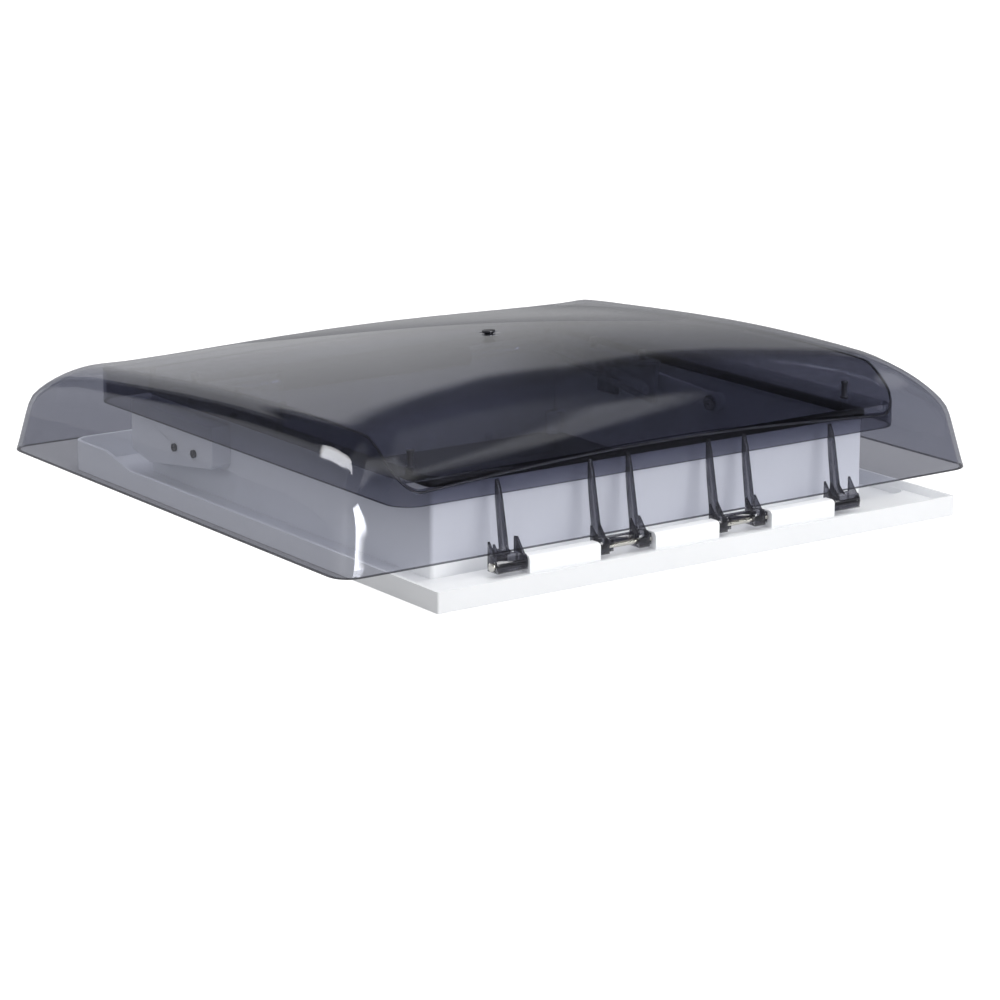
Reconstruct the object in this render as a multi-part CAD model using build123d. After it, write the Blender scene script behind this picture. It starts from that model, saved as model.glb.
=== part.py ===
from build123d import *
import os
import math
import numpy as np

# Roof vent for a leisure vehicle: white base frame with an upstand, a double
# glazed smoked dome hinged along one side, and a push-up bow that holds it open.
# Units mm, +Z up, origin at the centre of the roof opening on the roof surface.
# +X runs along the hinge, the hinge is on the -Y side and the rear on the +Y side.
# Left pieces lie at -X, right pieces at +X.

SIDES = ((-1, "left"), (1, "right"))

# ---------------------------------------------------------------- shared dimensions
UPSTAND_OUT = 198.5          # half width of the upstand and spigot, outside
UPSTAND_WALL = 3.0
UPSTAND_IN = UPSTAND_OUT - UPSTAND_WALL
UPSTAND_R = 3.5              # outer vertical corners
UPSTAND_IN_R = 1.0
UPSTAND_TOP = 73.0

HINGE_Y, HINGE_Z = -234.0, 16.5

PANE_BOTTOM = 77.0
PANE_T = 3.0
PANE_TOP = PANE_BOTTOM + PANE_T

BOW_Y, BOW_Z = -30.0, 52.0   # bow pivot
BOW_TILT = 4.13              # rest angle of the bow arms above level, degrees
# each arm is as long as the distance from the hinge to the bow pivot
BOW_L = math.hypot(BOW_Y - HINGE_Y, BOW_Z - HINGE_Z)
BAR_Y = BOW_Y + BOW_L * math.cos(math.radians(BOW_TILT))
BAR_Z = BOW_Z + BOW_L * math.sin(math.radians(BOW_TILT))
BAR_R = 4.0
ARM_X0, ARM_X1 = 186.0, 190.0
RAIL_X0, RAIL_X1 = 177.0, 181.0
RAIL_SCREW_X = 171.5
RAIL_SCREW_YS = (42.0, 108.0, 174.0)

CATCH_Y, CATCH_Z = 116.0, 54.0
HOUSE_X = 215.0              # outer face of the side housings
HOUSE_SCREWS = [(101.5, 38.8), (131.0, 38.4)]    # (y, z)
HOUSE_BOSS_R = 3.6

os.makedirs("parts", exist_ok=True)


# ---------------------------------------------------------------- helpers
def box(x0, x1, y0, y1, z0, z1):
    centre = Pos((x0 + x1) / 2, (y0 + y1) / 2, (z0 + z1) / 2)
    return centre * Box(x1 - x0, y1 - y0, z1 - z0)


def cyl_x(x0, x1, y, z, radius):
    return Pos((x0 + x1) / 2, y, z) * Rot(0, 90, 0) * Cylinder(radius, x1 - x0)


def cyl_z(x, y, z0, z1, radius):
    return Pos(x, y, (z0 + z1) / 2) * Cylinder(radius, z1 - z0)


def rounded_block(half_x, y0, y1, z0, z1, radius):
    """Block centred on x = 0 with rounded vertical corners."""
    outline = RectangleRounded(2 * half_x, y1 - y0, radius)
    return Pos(0, (y0 + y1) / 2, z0) * extrude(outline, z1 - z0)


def square_block(half, z0, z1, radius):
    return rounded_block(half, -half, half, z0, z1, radius)


def yz_plate(outline, x0, x1):
    """Prism with a (y, z) outline between two x planes."""
    face = make_face(Plane.YZ * Polyline(*outline, close=True))
    return Pos(x0, 0, 0) * extrude(face, x1 - x0, dir=(1, 0, 0))


def across(side, x0, x1):
    """An x range given for the +X side, moved to the chosen side, low end first."""
    return sorted((side * x0, side * x1))


def one(shape):
    """The largest solid of a shape."""
    return max(shape.solids(), key=lambda solid: solid.volume)


def save(node, *solids):
    shape = solids[0] if len(solids) == 1 else Compound(children=list(solids))
    shape.label = node
    export_step(shape, "parts/%s.step" % node)


# ---------------------------------------------------------------- dome surface
DOME_T = 3.0                 # acrylic thickness
BOND_GAP = 0.4               # glue line under the dome
RIM_X = 291.0                # half width of the rim
RIM_Y0, RIM_Y1 = -225.5, 266.0
RIM_Z = 22.0
DRAFT = math.radians(11.45)  # lean of the walls
# crown height: falls away from its peak as a polynomial in scaled x and y
PEAK_Y, PEAK_Z = -77.2, 126.4
SCALE_X, SCALE_Y = 250.0, 220.0
FALL_X2, FALL_X4 = 24.8, -6.68
FALL_Y2, FALL_Y4 = 19.8, -1.76
LIFT_X2Y2 = 8.25
# shoulder between the crown and the walls
SHOULDER_SIDE, SHOULDER_HINGE, SHOULDER_REAR = 36.4, 55.0, 44.0
SHOULDER_POWER = 1.72
# plan corners: a superellipse, cut by a circular corner with a smooth blend
PLAN_R, PLAN_POWER = 65.7, 14.0
CORNER_R = 20.0
CORNER_BLEND = 3.0
# air plug on the crown
PLUG_Y = 15.0
PLUG_HOLE_R = 3.6
# resolution of each half skin
SECTIONS = 75
SECTION_POINTS = 30
PATH_STEPS = 1200


def dome_field(x, y, z):
    """Roughly the signed distance to the dome's outer face, negative inside."""
    x_sc = x / SCALE_X
    y_sc = (y - PEAK_Y) / SCALE_Y
    crown_z = (PEAK_Z - FALL_X2 * x_sc ** 2 - FALL_Y2 * y_sc ** 2
               - FALL_X4 * x_sc ** 4 - FALL_Y4 * y_sc ** 4
               + LIFT_X2Y2 * x_sc ** 2 * y_sc ** 2)
    lean = (z - RIM_Z) * math.tan(DRAFT)
    tilt = math.cos(DRAFT)
    # level distances inward from the walls
    depth_x = RIM_X - np.abs(x) - lean
    depth_hinge = y - RIM_Y0 - lean
    depth_rear = RIM_Y1 - y - lean
    depth_y = np.minimum(depth_hinge, depth_rear)

    near_x = np.clip(PLAN_R - depth_x, 0, None)
    near_y = np.clip(PLAN_R - depth_y, 0, None)
    plan = (near_x ** PLAN_POWER + near_y ** PLAN_POWER) ** (1 / PLAN_POWER)
    wall = (plan - PLAN_R) * tilt

    # the shoulder radius passes from the side value to the end value round a corner
    weight_x = near_x ** 2 + 1e-6
    weight_y = near_y ** 2 + 1e-6
    end_radius = np.where(depth_hinge < depth_rear, SHOULDER_HINGE, SHOULDER_REAR)
    radius = (weight_x * SHOULDER_SIDE + weight_y * end_radius) / (weight_x + weight_y)
    up = np.clip((z - crown_z) + radius, 0, None)
    out = np.clip(wall + radius, 0, None)
    rounded = (up ** SHOULDER_POWER + out ** SHOULDER_POWER) ** (1 / SHOULDER_POWER) - radius
    body = np.where((up > 0) | (out > 0), rounded, np.maximum(z - crown_z, wall))

    corner_x = np.clip(CORNER_R - depth_x, 0, None)
    corner_y = np.clip(CORNER_R - depth_y, 0, None)
    corner = (np.hypot(corner_x, corner_y) - CORNER_R) * tilt
    blend = np.clip(CORNER_BLEND - np.abs(body - corner), 0, None) / CORNER_BLEND
    return np.maximum(body, corner) + blend * blend * CORNER_BLEND * 0.25


def ray_length(dir_x, dir_y, elevation, level):
    """Distance from the centre at rim height to the dome, found by bisection."""
    low = np.zeros_like(elevation)
    high = np.full_like(elevation, 700.0)
    cos_e, sin_e = np.cos(elevation), np.sin(elevation)
    for _ in range(48):
        mid = (low + high) / 2
        inside = dome_field(dir_x * cos_e * mid, PLUG_Y + dir_y * cos_e * mid,
                            RIM_Z + sin_e * mid) < level
        low = np.where(inside, mid, low)
        high = np.where(inside, high, mid)
    return (low + high) / 2


def profile(dir_x, dir_y, level, count):
    """Reach and height of points from the rim to the plug hole in one vertical plane."""
    elevation = np.concatenate([np.linspace(0, 1.2, 500),
                                np.linspace(1.2, math.pi / 2 - 0.02, 500)[1:]])
    ray = ray_length(dir_x, dir_y, elevation, level)
    reach, z = ray * np.cos(elevation), RIM_Z + ray * np.sin(elevation)
    keep = reach > PLUG_HOLE_R
    reach, z = reach[keep], z[keep]
    reach, z = np.append(reach, PLUG_HOLE_R), np.append(z, z[-1])
    steps = np.hypot(np.diff(reach), np.diff(z))
    length = np.concatenate([[0], np.cumsum(steps)])
    # the power crowds the points towards the rim
    at = (np.linspace(0, 1, count) ** 1.35) * length[-1]
    return np.interp(at, length, reach), np.interp(at, length, z)


def crown_plane(level):
    """Height and y slope of the crown at the plug."""
    z_hinge, z_rear = [profile(0.0, dir_y, level, SECTION_POINTS)[1][-1]
                       for dir_y in (-1.0, 1.0)]
    return (z_hinge + z_rear) / 2, (z_rear - z_hinge) / (2 * PLUG_HOLE_R)


def rim_path(half_x, y0, y1):
    """Points along the +X half of a rounded rim, from the hinge side to the rear."""
    radius = 40.0
    end_len = half_x - radius
    arc_len = math.pi / 2 * radius
    side_len = (y1 - y0) - 2 * radius
    arc0_end = end_len + arc_len
    side_end = arc0_end + side_len
    arc1_end = side_end + arc_len
    path = []
    for k in range(PATH_STEPS + 1):
        s = k / PATH_STEPS * (arc1_end + end_len)
        if s < end_len:
            point = (s, y0)
        elif s < arc0_end:
            turn = (s - end_len) / radius
            point = (end_len + radius * math.sin(turn), y0 + radius - radius * math.cos(turn))
        elif s < side_end:
            point = (half_x, y0 + radius + s - arc0_end)
        elif s < arc1_end:
            turn = (s - side_end) / radius
            point = (end_len + radius * math.cos(turn), y1 - radius + radius * math.sin(turn))
        else:
            point = (end_len - (s - arc1_end), y1)
        path.append(point)
    return np.array(path)


def half_skin(level):
    """The +X half of the dome skin as one B-spline face."""
    half_x = RIM_X + level
    y0, y1 = RIM_Y0 - level - PLUG_Y, RIM_Y1 + level - PLUG_Y
    path = rim_path(half_x, y0, y1)
    # sections gather round the two corners
    weight = np.full(len(path), 0.25)
    for corner_y in (y0 + 12, y1 - 12):
        distance = np.hypot(path[:, 0] - (half_x - 12), path[:, 1] - corner_y)
        weight += 1.0 / (1.0 + 0.018 * distance)
    total = np.concatenate([[0], np.cumsum((weight[1:] + weight[:-1]) / 2)])
    index = np.arange(len(path))
    pick = np.interp(np.linspace(0, total[-1], SECTIONS), total, index)
    aim_x = np.interp(pick, index, path[:, 0])
    aim_y = np.interp(pick, index, path[:, 1])
    # the end sections lie exactly on the mirror plane
    aim_x[0] = aim_x[-1] = 0.0

    plug_z, slope = crown_plane(level)
    rows = []
    for x, y in zip(aim_x.tolist(), aim_y.tolist()):
        length = math.hypot(x, y)
        dir_x, dir_y = x / length, y / length
        reach, height = profile(dir_x, dir_y, level, SECTION_POINTS)
        points = [Vector(dir_x * r, PLUG_Y + dir_y * r, z) for r, z in zip(reach, height)]
        first, last = points[0], points[-1]
        points[0] = Vector(first.X, first.Y, RIM_Z)
        points[-1] = Vector(last.X, last.Y, plug_z + slope * (last.Y - PLUG_Y))
        rows.append(points)
    return Face.make_surface_from_array_of_points(rows, tol=0.05, min_deg=3, max_deg=8)


def rim_edge(face):
    return [e for e in face.edges() if e.bounding_box().max.Z < RIM_Z + 0.5][0]


def hole_edge(face):
    return [e for e in face.edges() if e.bounding_box().size.Y < 2 * PLUG_HOLE_R + 1
            and e.bounding_box().min.Z > 100][0]


def bridges(skin_a, skin_b):
    """Faces that join two skins at the rim and at the plug hole."""
    return [Face.make_surface_from_curves(find(skin_a), find(skin_b))
            for find in (rim_edge, hole_edge)]


def close_up(faces):
    return Solid(Shell(Face.sew_faces(faces)[0]))


def capped(skin):
    """Solid under a skin, closed at the rim and at the plug hole."""
    other = skin.mirror(Plane.YZ)
    return close_up([skin, other, *bridges(skin, other)])


def outer_dome():
    outer, inner = half_skin(0.0), half_skin(-DOME_T)
    faces = []
    for skin_o, skin_i in ((outer, inner), (outer.mirror(Plane.YZ), inner.mirror(Plane.YZ))):
        faces += [skin_o, skin_i, *bridges(skin_o, skin_i)]
    return close_up(faces)


def dome_plug():
    plug = Pos(0, 0, 1.2) * Cylinder(5.2, 2.0)
    plug = fillet(plug.edges().filter_by(GeomType.CIRCLE).sort_by(Axis.Z)[-1], 0.9)
    plug += Pos(0, 0, -1.6) * Cylinder(3.4, 3.8) + Pos(0, 0, -4.4) * Cone(2.8, 3.4, 2.0)
    crown_z, slope = crown_plane(0.0)
    place = Location((0, PLUG_Y, crown_z), (math.degrees(math.atan(slope)), 0, 0))
    return one(place * plug)


# space under the dome that the pane and the bracket ribs are trimmed to
trim_volume = capped(half_skin(-DOME_T - BOND_GAP))
save("outer_dome", outer_dome())
save("dome_plug", dome_plug())

# ---------------------------------------------------------------- inner pane
FLANGE_X = 230.5
FLANGE_Y0, FLANGE_Y1 = -208.0, 231.0
FLANGE_Z = 60.5              # bottom of the flange round the pane
FLANGE_T = 2.5
FLANGE_R = 20.0
PANE_BLOCK_TOP = 130.0       # above the dome, trimmed back to it
STUD_X = 200
STUDS = ((-175, 93), (190, 89))      # (y, top)


def pane_block(inset, z0, z1):
    return rounded_block(FLANGE_X - inset, FLANGE_Y0 + inset, FLANGE_Y1 - inset,
                         z0, z1, FLANGE_R - inset)


def inner_pane():
    pane = pane_block(0, FLANGE_Z, PANE_BLOCK_TOP)
    pane -= pane_block(FLANGE_T, FLANGE_Z - 1, PANE_BOTTOM)
    pane -= pane_block(FLANGE_T, PANE_TOP, PANE_BLOCK_TOP + 1)
    pane = pane & trim_volume
    for side, _ in SIDES:
        for y in RAIL_SCREW_YS:
            pane -= cyl_z(side * RAIL_SCREW_X, y, 70, 90, 2.0)
    return one(pane)


def pane_stud(x, y, top):
    stud = cyl_z(x, y, PANE_TOP, top, 2.2)
    return one(stud + cyl_z(x, y, PANE_TOP, PANE_TOP + 1.5, 3.2)
               + cyl_z(x, y, top - 2.0, top, 2.8))


save("inner_pane", inner_pane())
save("pane_studs", *[pane_stud(side * STUD_X, y, top) for y, top in STUDS for side, _ in SIDES])

# ---------------------------------------------------------------- hinge brackets
BARREL_R = 4.5
BARREL_BORE = 2.06
RIB_W = 3.4
INNER_SPIKE_W = 1.7
# (y, z) outlines
RIB = [(-226, 22.2), (-213.5, 22.2), (-210.4, 44), (-208.5, 58), (-208.5, 82), (-226, 82)]
FOOT = [(-235.5, 12.6), (-213.5, 12.6), (-213.5, 22.6), (-220.9, 22.6), (-220.9, 21.5),
        (-235.5, 20.8)]
BLOCK = [(-238.5, 12.0), (-238.5, 19.4), (-236.6, 22.6), (-226.4, 22.6), (-226.4, 12.0)]
# name: x0, x1, rib x, spikes as (x0, x1, tip z)
OUTER_BRACKETS = {
    "left": (-170.0, -144.0, -149.6, [(-170.0, -168.2, 33.0), (-165.6, -164.0, 30.5),
                                      (-147.6, -146.0, 34.0), (-145.6, -144.0, 33.5)]),
    "right": (137.0, 162.6, 156.6, [(137.0, 138.8, 33.0), (143.0, 144.6, 31.0),
                                    (150.0, 151.6, 30.0), (160.8, 162.6, 33.5)]),
}
# name: lugs as (x0, x1), rib x values, end of the bar
INNER_BRACKETS = {
    "left": ([(-80.8, -72.4), (-45.6, -36.3)], [-68.4, -34.4], -32.7),
    "right": ([(27.2, 35.4), (61.4, 71.0)], [39.4, 73.4], 75.1),
}


def hinge_cyl(x0, x1, radius):
    return cyl_x(x0, x1, HINGE_Y, HINGE_Z, radius)


def rib(x):
    return one(yz_plate(RIB, x - RIB_W / 2, x + RIB_W / 2) & trim_volume)


def spike(x0, x1, tip):
    outline = [(-238.4, 18.5), (-226.7, tip), (-226.3, tip), (-226.3, 15.0), (-236.0, 13.0)]
    return yz_plate(outline, x0, x1)


def foot(x, half_width):
    return yz_plate(FOOT, x - half_width, x + half_width)


def outer_bracket(x0, x1, rib_x, spikes):
    bracket = hinge_cyl(x0, x1, BARREL_R) + yz_plate(BLOCK, x0, x1)
    bracket += foot(rib_x, RIB_W) + rib(rib_x)
    for spike_x0, spike_x1, tip in spikes:
        bracket += spike(spike_x0, spike_x1, tip)
    # two grooves along the -Y face of the block
    bracket -= (box(x0 + 2.5, x1 - 2.5, -240, -237.9, 14.2, 15.0)
                + box(x0 + 2.5, x1 - 2.5, -240, -237.9, 17.4, 18.2))
    return one(bracket - hinge_cyl(x0 - 1, x1 + 1, BARREL_BORE))


def inner_bracket(lugs, rib_xs, bar_end):
    bar_start = lugs[0][0]
    bracket = box(bar_start, bar_end, -231.6, -226.4, 16.6, 21.8)
    for x0, x1 in lugs:
        bracket += hinge_cyl(x0, x1, BARREL_R) + yz_plate(BLOCK, x0, x1)
        bracket += spike(x0, x0 + INNER_SPIKE_W, 31.5) + spike(x1 - INNER_SPIKE_W, x1, 32.5)
    for x in rib_xs:
        bracket += foot(x, RIB_W / 2) + rib(x)
    return one(bracket - hinge_cyl(bar_start - 1, bar_end + 1, BARREL_BORE))


for _, name in SIDES:
    save("hinge_bracket_outer_" + name, outer_bracket(*OUTER_BRACKETS[name]))
    save("hinge_bracket_inner_" + name, inner_bracket(*INNER_BRACKETS[name]))

# ---------------------------------------------------------------- hinge rod and clip
ROD_X0, ROD_X1 = -171.0, 163.6
ROD_R = 2.0
ROD_NECK_R = 1.6             # clip groove at the +X end


def hinge_rod():
    rod = hinge_cyl(ROD_X0, ROD_X1, ROD_R)
    rod += hinge_cyl(ROD_X0 - 1.6, ROD_X0 + 0.4, 3.2)
    rod -= (hinge_cyl(ROD_X1 - 0.35, ROD_X1 + 0.2, 9)
            - hinge_cyl(ROD_X1 - 1, ROD_X1 + 1, ROD_NECK_R))
    return one(rod)


def hinge_rod_clip():
    clip = hinge_cyl(ROD_X1 - 0.33, ROD_X1 + 0.17, 3.6)
    clip -= hinge_cyl(ROD_X1 - 2, ROD_X1 + 2, ROD_NECK_R + 0.03)
    clip -= box(ROD_X1 - 2, ROD_X1 + 2, HINGE_Y - 1.1, HINGE_Y + 1.1, HINGE_Z - 6, HINGE_Z)
    return one(clip)


save("hinge_rod", hinge_rod())
save("hinge_rod_clip", hinge_rod_clip())

# ---------------------------------------------------------------- base frame
FRAME_X = 236.4              # half width
FRAME_Y0, FRAME_Y1 = -262.5, 261.0
FRAME_FLOOR = 4.0            # gutter floor thickness
FRAME_WALL_TOP = 24.0        # rear gutter wall
FRAME_LIP_TOP = 15.3         # hinge side lip and lower side walls
DECK_TOP = 9.0               # hinge side deck
SPIGOT_BOTTOM = -14.0
RAIL_SEGMENTS = ((-143.4, -81.4), (-32.0, 26.4), (75.8, 136.4))   # (x0, x1)
HINGE_RAIL_BORE = 2.05
CORNER_BOSS = 188            # x and y of the corner bosses
CORNER_WEB_END = 196.5
CORE_COUNT, CORE_PITCH, CORE_HALF = 8, 57.5, 26.5
GROOVE_X = 227               # roof seal groove, outer edges
GROOVE_Y0, GROOVE_Y1 = -239.0, 241.0
GROOVE_W = 20


def gutter_and_deck():
    frame = rounded_block(FRAME_X, FRAME_Y0, FRAME_Y1, 0, FRAME_WALL_TOP, 14.0)
    frame += rounded_block(FRAME_X, FRAME_Y0, 100.0, 0, FRAME_LIP_TOP, 1.6)
    frame -= rounded_block(FRAME_X - 3, -213.0, FRAME_Y1 - 3,
                           FRAME_FLOOR, FRAME_WALL_TOP + 1, 11.0)
    frame -= rounded_block(FRAME_X - 2.6, FRAME_Y0 + 2.6, -120.0,
                           DECK_TOP, FRAME_WALL_TOP + 1, 0.8)
    # the side walls drop to the lip height on the hinge side of the rear corners
    above_lip = [(-300.0, FRAME_LIP_TOP), (165.0, FRAME_LIP_TOP), (205.0, FRAME_WALL_TOP),
                 (205.0, 40.0), (-300.0, 40.0)]
    return frame - yz_plate(above_lip, -300, 300)


def add_hinge_rail(frame):
    """Rail segments between the lid brackets, bored for the rod."""
    for x0, x1 in RAIL_SEGMENTS:
        segment = box(x0, x1, -240.0, -227.2, DECK_TOP - 1, 21.6)
        segment = fillet(segment.edges().filter_by(Axis.X).group_by(Axis.Z)[-1], 3.4)
        frame += segment
    return frame - hinge_cyl(-160, 160, HINGE_RAIL_BORE)


def add_upstand(frame):
    """Upstand and spigot, with corner bosses for the interior frame's screws."""
    frame += square_block(UPSTAND_OUT, SPIGOT_BOTTOM, UPSTAND_TOP, UPSTAND_R)
    frame -= square_block(UPSTAND_IN, SPIGOT_BOTTOM - 1, UPSTAND_TOP + 1, UPSTAND_IN_R)
    for side_x in (-1, 1):
        for side_y in (-1, 1):
            x, y = side_x * CORNER_BOSS, side_y * CORNER_BOSS
            web_x = across(side_x, CORNER_BOSS, CORNER_WEB_END)
            web_y = across(side_y, CORNER_BOSS, CORNER_WEB_END)
            boss = cyl_z(x, y, SPIGOT_BOTTOM, FRAME_FLOOR, 6.0)
            boss += box(*web_x, y - 2, y + 2, SPIGOT_BOTTOM, FRAME_FLOOR)
            boss += box(x - 2, x + 2, *web_y, SPIGOT_BOTTOM, FRAME_FLOOR)
            frame += boss
            frame -= cyl_z(x, y, SPIGOT_BOTTOM - 1, SPIGOT_BOTTOM + 13, 1.6)
    return frame


def seal_band(gap, z0, z1):
    """Rectangular band, inside the roof seal groove's edges by a gap."""
    inset = GROOVE_W - gap
    return (box(gap - GROOVE_X, GROOVE_X - gap, GROOVE_Y0 + gap, GROOVE_Y1 - gap, z0, z1)
            - box(inset - GROOVE_X, GROOVE_X - inset,
                  GROOVE_Y0 + inset, GROOVE_Y1 - inset, z0 - 1, 3))


def cut_underside(frame):
    """Cores under the hinge side deck, and the roof seal groove."""
    for k in range(CORE_COUNT):
        x = (k - (CORE_COUNT - 1) / 2) * CORE_PITCH
        frame -= box(x - CORE_HALF, x + CORE_HALF, -258.5, -243.0, -1, 6.0)
    return frame - seal_band(0, -1, 1.7)


def add_side_fittings(frame):
    """Bow pivot bosses, housing screw bosses and catch openings in the side walls."""
    for side, _ in SIDES:
        frame += cyl_x(*across(side, UPSTAND_IN + 0.5, 190.6), BOW_Y, BOW_Z, 7.5)
        frame -= cyl_x(*across(side, 197.2, 190.0), BOW_Y, BOW_Z, 3.02)
        for y, z in HOUSE_SCREWS:
            frame += cyl_x(*across(side, UPSTAND_OUT - 0.5, 204.0), y, z, HOUSE_BOSS_R)
            frame -= cyl_x(*across(side, 199.5, 205.0), y, z, 1.62)
        opening_x = across(side, 194.0, 200.0)
        frame -= cyl_x(*opening_x, CATCH_Y, CATCH_Z, 2.7)
        frame -= box(*opening_x, CATCH_Y - 5, CATCH_Y + 5, 36.0, 44.0)
    return frame


def base_frame():
    frame = add_hinge_rail(gutter_and_deck())
    frame = cut_underside(add_upstand(frame))
    return one(add_side_fittings(frame))


def upstand_gasket():
    """Channel that grips the wall top, with a rounded bulb."""
    fit = 0.02
    gasket = (square_block(UPSTAND_OUT + 3, UPSTAND_TOP - 2, UPSTAND_TOP + 3.6, 7.0)
              - square_block(UPSTAND_IN - 3, 60, 80, 6.0))
    gasket = fillet(gasket.edges().group_by(Axis.Z)[-1], 3.2)
    gasket -= (square_block(UPSTAND_OUT + fit, 64, UPSTAND_TOP + fit, UPSTAND_R + fit)
               - square_block(UPSTAND_IN - fit, 63, UPSTAND_TOP + 1, UPSTAND_IN_R - fit))
    return one(gasket)


save("base_frame", base_frame())
save("upstand_gasket", upstand_gasket())
save("roof_seal", one(seal_band(0.5, 0, 1.6)))

# ---------------------------------------------------------------- side housings
HOUSE_Y0, HOUSE_Y1 = 75.0, 200.0
HOUSE_Z0, HOUSE_Z1 = 18.5, 64.0
HOUSE_T = 2
# (y, z) outlines
HOUSE_OUTER = [(HOUSE_Y0, 34.0), (HOUSE_Y0 + 3, 30.5), (HOUSE_Y1 - 28, HOUSE_Z0),
               (HOUSE_Y1, HOUSE_Z0 + 6), (HOUSE_Y1, HOUSE_Z1), (HOUSE_Y0, HOUSE_Z1)]
HOUSE_INNER = [(HOUSE_Y0 + HOUSE_T, 35.0), (HOUSE_Y0 + 4.2, 32.6),
               (HOUSE_Y1 - 27.8, HOUSE_Z0 + 2.1), (HOUSE_Y1 - HOUSE_T, HOUSE_Z0 + 7.6),
               (HOUSE_Y1 - HOUSE_T, HOUSE_Z1 - HOUSE_T),
               (HOUSE_Y0 + HOUSE_T, HOUSE_Z1 - HOUSE_T)]


def side_housing(side):
    shell = yz_plate(HOUSE_OUTER, *across(side, HOUSE_X, UPSTAND_OUT + 0.05))
    shell -= yz_plate(HOUSE_INNER, *across(side, HOUSE_X - HOUSE_T, UPSTAND_OUT - 1))
    for y, z in HOUSE_SCREWS:
        shell += cyl_x(*across(side, HOUSE_X - 1, 204.2), y, z, HOUSE_BOSS_R)
        shell -= cyl_x(*across(side, HOUSE_X + 1, 203.0), y, z, 1.8)
    shell = one(shell)
    outer_face = shell.faces().sort_by(Axis.X)[0 if side < 0 else -1]
    # guards the rounding of the outer face: if it fails the edges stay sharp
    try:
        shell = one(fillet(outer_face.outer_wire().edges(), 1.2))
    except Exception:
        pass
    return shell


def housing_screw(side, y, z):
    """Screw with a cross slot in its head."""
    screw = cyl_x(*across(side, 200.0, HOUSE_X + 0.1), y, z, 1.6)
    screw += cyl_x(*across(side, HOUSE_X + 0.05, HOUSE_X + 2.0), y, z, 3.2)
    slot_x = across(side, HOUSE_X + 1.0, HOUSE_X + 3.0)
    screw -= (box(*slot_x, y - 2.2, y + 2.2, z - 0.4, z + 0.4)
              + box(*slot_x, y - 0.4, y + 0.4, z - 2.2, z + 2.2))
    return one(screw)


save("housing_screws", *[housing_screw(side, y, z) for side, _ in SIDES for y, z in HOUSE_SCREWS])


# ---------------------------------------------------------------- catches
def catch(side):
    # plate in the housing
    body = box(*across(side, 209.0, 204.0), CATCH_Y - 7, CATCH_Y + 7, 36.6, 60)
    # round bolt and square bar through the wall
    body += cyl_x(*across(side, 204.5, 191.0), CATCH_Y, CATCH_Z, 2.5)
    body += box(*across(side, 204.5, 194.0), CATCH_Y - 4, CATCH_Y + 4, 37, 43)
    # plate inside the opening, with four grooves
    body += box(*across(side, 195.2, 190.4), CATCH_Y - 12, CATCH_Y + 12, 34.0, 47.0)
    for k in range(4):
        y = CATCH_Y - 8.5 + 5 * k
        body -= box(*across(side, 190.9, 190.0), y, y + 2, 33, 48)
    return one(body)


def catch_spring(side):
    height = 2.7
    helix = Helix(pitch=1.15, height=height, radius=3.5)
    section = Plane(helix @ 0, z_dir=helix % 0) * Circle(0.42)
    wire = Rot(0, 90, 0) * sweep(section, path=helix, is_frenet=True)
    return one(Pos(side * 211.0 - height / 2, CATCH_Y, CATCH_Z) * wire)


for side, name in SIDES:
    save("side_housing_" + name, side_housing(side))
    save("catch_" + name, catch(side))
    save("catch_spring_" + name, catch_spring(side))

# ---------------------------------------------------------------- bow
BUSH_R = 4.5
ROLLER_R = 5.5
BAR_X = ARM_X1 + 0.6         # half length of the crossbar
GRIP_X = 92                  # half length of the grip
# lug round the catch bolt, (y from the catch, z)
CATCH_LUG = ((-6.5, 62), (-5.5, 49.6), (-3, 48.6), (3, 48.6), (5.5, 49.6), (6.5, 62))


def pivot_cyl(side, x0, x1, radius):
    return cyl_x(*across(side, x0, x1), BOW_Y, BOW_Z, radius)


def bar_cyl(x0, x1, radius):
    return cyl_x(x0, x1, BAR_Y, BAR_Z, radius)


def bow_arm(side):
    x0, x1 = across(side, ARM_X0, ARM_X1)
    tilt = math.radians(BOW_TILT)

    def beside(y, z, offset):
        """A point moved square to the arm."""
        return (y - math.sin(tilt) * offset, z + math.cos(tilt) * offset)

    arm = cyl_x(x0, x1, BOW_Y, BOW_Z, 8.5) + bar_cyl(x0, x1, 7.0)
    arm += yz_plate([beside(BOW_Y, BOW_Z, 7.5), beside(BAR_Y, BAR_Z, 5.6),
                     beside(BAR_Y, BAR_Z, -5.6), beside(BOW_Y, BOW_Z, -7.5)], x0, x1)
    arm += yz_plate([(CATCH_Y + y, z) for y, z in CATCH_LUG], x0, x1)
    arm -= cyl_x(x0 - 1, x1 + 1, BOW_Y, BOW_Z, BUSH_R + 0.02)
    arm -= bar_cyl(x0 - 1, x1 + 1, BAR_R + 0.02)
    arm -= cyl_x(x0 - 1, x1 + 1, CATCH_Y, CATCH_Z, 2.9)
    return one(arm)


def bow_bush(side):
    bush = pivot_cyl(side, ARM_X1, ARM_X0, BUSH_R)
    bush += pivot_cyl(side, ARM_X0, 185.2, 6.6)
    bush -= pivot_cyl(side, 200, 180, 3.05)
    return one(bush)


def bow_pivot_pin(side):
    pin = pivot_cyl(side, 197.0, 184.9, 3.0)
    pin += pivot_cyl(side, 185.1, 183.2, 6.0)
    pin -= pivot_cyl(side, 184.2, 182.0, 2.2)
    return one(pin)


def guide_roller(side):
    x0, x1 = across(side, RAIL_X1 + 0.2, RAIL_X0 - 0.2)
    return one(bar_cyl(x0, x1, ROLLER_R) - bar_cyl(x0 - 1, x1 + 1, BAR_R + 0.06))


def crossbar_end_cap(side):
    cap = bar_cyl(*across(side, BAR_X + 0.02, 192.4), 5.2)
    return one(cap + bar_cyl(*across(side, 184.0, 190.8), 2.78))


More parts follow.
